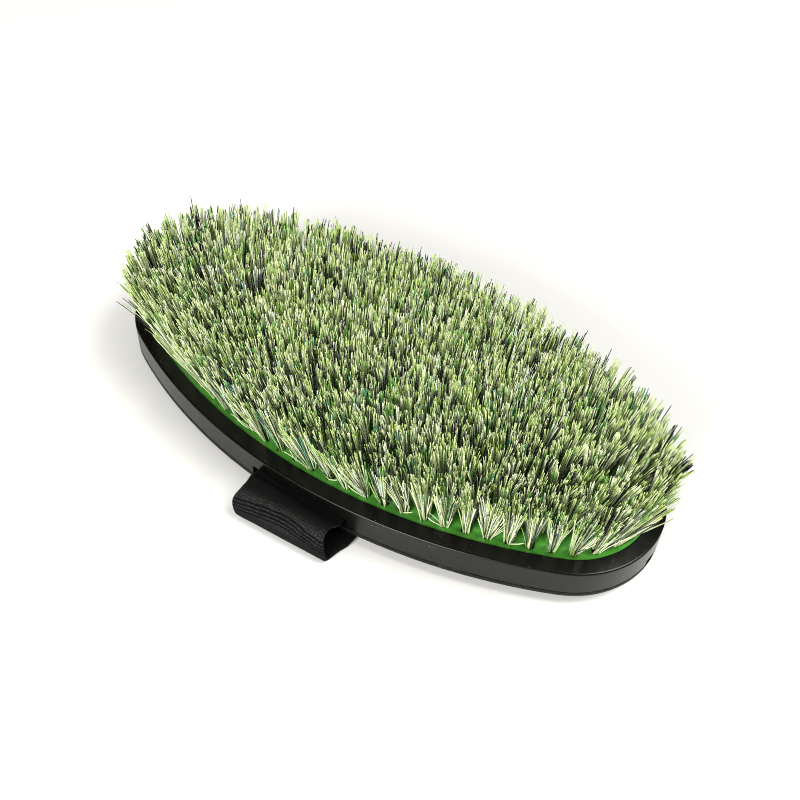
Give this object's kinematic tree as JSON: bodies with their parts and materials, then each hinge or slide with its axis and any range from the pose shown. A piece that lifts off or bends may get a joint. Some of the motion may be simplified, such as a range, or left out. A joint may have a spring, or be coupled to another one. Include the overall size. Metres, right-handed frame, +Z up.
{
  "type": "oval grooming brush",
  "caption": "Oval grooming brush: black rim and domed back, green plate filled with mixed green and white bristles, and a webbing hand strap that lifts off the back.",
  "frame": {"origin": "on the resting plane, under the middle of the oval body, with the brush on its back", "axes": "+X along the brush, +Y across it, away from the side shown nearest in the view the part was made for, +Z up towards the bristle tips"},
  "size_m": [0.2204, 0.1292, 0.042],
  "materials": {
    "rim_plastic": "satin black moulded plastic with a fine grain",
    "cover_plastic": "satin black moulded plastic, slightly scuffed",
    "plate_plastic": "smooth saturated green plastic",
    "bristle_filament": "mixed synthetic filaments: pale lime, cream, mid green, teal and black",
    "strap_webbing": "ribbed black elastic webbing",
    "bar_steel": "plain drawn wire"
  },
  "bodies": {
    "body": {"rim_frame": "rim_plastic", "bristle_plate": "plate_plastic", "back_cover": "cover_plastic", "strap_bar_near": "bar_steel", "strap_bar_far": "bar_steel", "hand_strap_near_side": "strap_webbing", "hand_strap_far_side": "strap_webbing", "tuft_row_1": "bristle_filament", "tuft_row_2": "bristle_filament", "tuft_row_3": "bristle_filament", "tuft_row_4": "bristle_filament", "tuft_row_5": "bristle_filament", "tuft_row_6": "bristle_filament", "tuft_row_7": "bristle_filament"},
    "strap": {"hand_strap_middle": "strap_webbing"}
  },
  "joints": [
    {"name": "strap_lift", "type": "slide", "parent": "body", "child": "strap", "axis": [0, 0, -1], "range_m": [0, 0.03], "deforming": ["hand_strap_near_side", "hand_strap_far_side"]}
  ]
}
